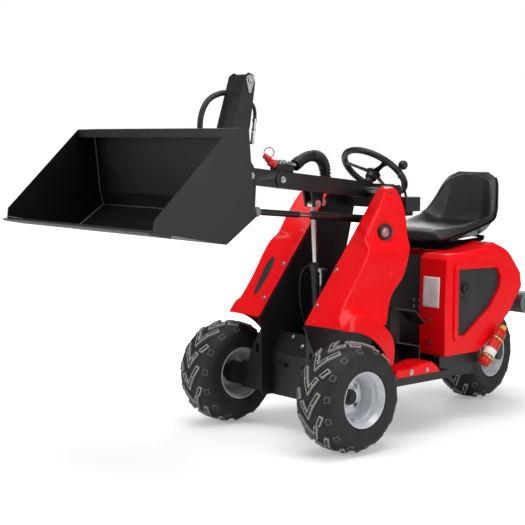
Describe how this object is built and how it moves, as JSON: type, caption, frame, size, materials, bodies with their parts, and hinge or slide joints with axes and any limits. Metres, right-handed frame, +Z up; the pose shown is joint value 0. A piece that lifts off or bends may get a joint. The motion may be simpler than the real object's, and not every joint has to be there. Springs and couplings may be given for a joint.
{
  "type": "three-wheeled mini loader",
  "caption": "Compact ride-on loader with a raised front bucket on a boom and tilting carrier, red fairings, and a steered rear wheel under the seat.",
  "frame": {"origin": "on the ground, under the middle of the machine's bounding box", "axes": "+X forward towards the bucket, +Y to the driver's left, +Z up"},
  "size_m": [2.2736, 0.898, 1.372],
  "materials": {
    "black_steel": "satin black paint",
    "worn_steel": "satin black paint, worn edge",
    "red_plastic": "glossy red moulding",
    "grey_plastic": "dark grey textured moulding",
    "black_vinyl": "black vinyl",
    "black_plastic": "matt black",
    "tyre_rubber": "moulded rubber",
    "rim_grey": "silver grey paint",
    "motor_iron": "black painted casting",
    "chrome": "polished rod",
    "zinc_steel": "zinc plated",
    "muffler_steel": "plain steel",
    "cap_red": "soft red cap",
    "can_red": "gloss red can"
  },
  "bodies": {
    "root": {"chassis_frame": "black_steel", "front_axle_box": "black_steel", "wheel_motors": "motor_iron", "rear_frame": "black_steel", "tower_plates": "black_steel", "tower_back": "black_steel", "fairing_left": "red_plastic", "fairing_right": "red_plastic", "sills": "red_plastic", "foot_pedal": "black_steel", "engine_wall": "black_steel", "engine": "motor_iron", "muffler": "muffler_steel", "rear_cowl": "red_plastic", "side_panels": "grey_plastic", "seat_shell": "black_plastic", "seat_cushion": "black_vinyl", "seat_back": "black_vinyl", "steering_column": "black_steel", "control_valve": "black_plastic", "pivot_pins": "zinc_steel", "lamps": "black_plastic", "extinguisher": "can_red"},
    "front_left_wheel": {"tyre_front_left": "tyre_rubber", "rim_front_left": "rim_grey"},
    "front_right_wheel": {"tyre_front_right": "tyre_rubber", "rim_front_right": "rim_grey"},
    "fork": {"rear_fork": "black_steel"},
    "rear_wheel": {"tyre_rear": "tyre_rubber", "rim_rear": "rim_grey"},
    "hand_wheel": {"steering_wheel": "black_plastic"},
    "boom_arm": {"boom": "black_steel", "coupler_block": "zinc_steel", "coupler_caps": "cap_red"},
    "level_knuckle": {"carrier_pin": "zinc_steel"},
    "tool_carrier": {"carrier": "black_steel", "tilt_pin": "zinc_steel"},
    "bucket_tool": {"bucket": "black_steel", "cutting_edge": "worn_steel"},
    "lift_cylinder": {"lift_barrel": "black_steel"},
    "lift_piston": {"lift_rod": "chrome"},
    "level_cylinder": {"level_barrel": "black_steel"},
    "level_piston": {"level_rod": "chrome"},
    "tilt_cylinder": {"tilt_barrel": "black_steel"},
    "tilt_piston": {"tilt_rod": "chrome"}
  },
  "joints": [
    {"name": "front_left_roll", "type": "hinge", "parent": "root", "child": "front_left_wheel", "pos_m": [0.18693, 0.3455, 0.203], "axis": [0, 1, 0], "continuous": true},
    {"name": "front_right_roll", "type": "hinge", "parent": "root", "child": "front_right_wheel", "pos_m": [0.18693, -0.3455, 0.203], "axis": [0, 1, 0], "continuous": true},
    {"name": "rear_steer", "type": "hinge", "parent": "root", "child": "fork", "pos_m": [-0.93007, 0, 0.49], "axis": [0, 0, 1], "range_deg": [-49.9, 30.1]},
    {"name": "rear_roll", "type": "hinge", "parent": "fork", "child": "rear_wheel", "pos_m": [-0.93007, 0, 0.203], "axis": [-0.1719, 0.9851, 0], "continuous": true},
    {"name": "steering_wheel_turn", "type": "hinge", "parent": "root", "child": "hand_wheel", "pos_m": [-0.29407, 0, 1.002], "axis": [-0.6428, 0, 0.766], "range_deg": [-275, 452]},
    {"name": "boom_lift", "type": "hinge", "parent": "root", "child": "boom_arm", "pos_m": [-0.21807, 0, 0.932], "axis": [0, -1, 0], "range_deg": [-44, 8]},
    {"name": "carrier_level", "type": "hinge", "parent": "boom_arm", "child": "level_knuckle", "pos_m": [0.39193, 0, 1], "axis": [0, 1, 0], "range_deg": [-44, 8]},
    {"name": "carrier_tilt", "type": "hinge", "parent": "level_knuckle", "child": "tool_carrier", "pos_m": [0.39193, 0, 1], "axis": [0, 1, 0], "range_deg": [-10, 28]},
    {"name": "bucket_tilt", "type": "hinge", "parent": "tool_carrier", "child": "bucket_tool", "pos_m": [0.59693, 0, 0.88], "axis": [0, 1, 0], "range_deg": [-15, 45]},
    {"name": "lift_swing", "type": "hinge", "parent": "root", "child": "lift_cylinder", "pos_m": [0.00493, 0, 0.282], "axis": [0, -1, 0], "range_deg": [-2, 10.2]},
    {"name": "lift_extend", "type": "slide", "parent": "lift_cylinder", "child": "lift_piston", "axis": [0.0596, 0, 0.9982], "range_m": [-0.163, 0.03]},
    {"name": "level_swing", "type": "hinge", "parent": "root", "child": "level_cylinder", "pos_m": [-0.22007, 0.065, 0.815], "axis": [0, -1, 0], "range_deg": [-43.8, 8]},
    {"name": "level_extend", "type": "slide", "parent": "level_cylinder", "child": "level_piston", "axis": [0.996, 0, 0.0898], "range_m": [-0.064, 0.023]},
    {"name": "tilt_swing", "type": "hinge", "parent": "tool_carrier", "child": "tilt_cylinder", "pos_m": [0.39693, 0, 1.345], "axis": [0, -1, 0], "range_deg": [-0.9, 2.5]},
    {"name": "tilt_extend", "type": "slide", "parent": "tilt_cylinder", "child": "tilt_piston", "axis": [0.1406, 0, -0.9901], "range_m": [-0.0965, 0.0325]}
  ],
  "couplings": [
    {"joint": "steering_wheel_turn", "follows": "rear_steer", "ratio": -9},
    {"joint": "carrier_level", "follows": "boom_lift", "ratio": 1},
    {"joint": "lift_swing", "follows": "boom_lift", "ratio": -0.228},
    {"joint": "lift_extend", "follows": "boom_lift", "m_per_rad": 0.2115},
    {"joint": "level_swing", "follows": "boom_lift", "ratio": 0.9925},
    {"joint": "level_extend", "follows": "carrier_tilt", "m_per_rad": -0.1293},
    {"joint": "tilt_swing", "follows": "bucket_tilt", "ratio": 0.054},
    {"joint": "tilt_extend", "follows": "bucket_tilt", "m_per_rad": -0.1225}
  ]
}
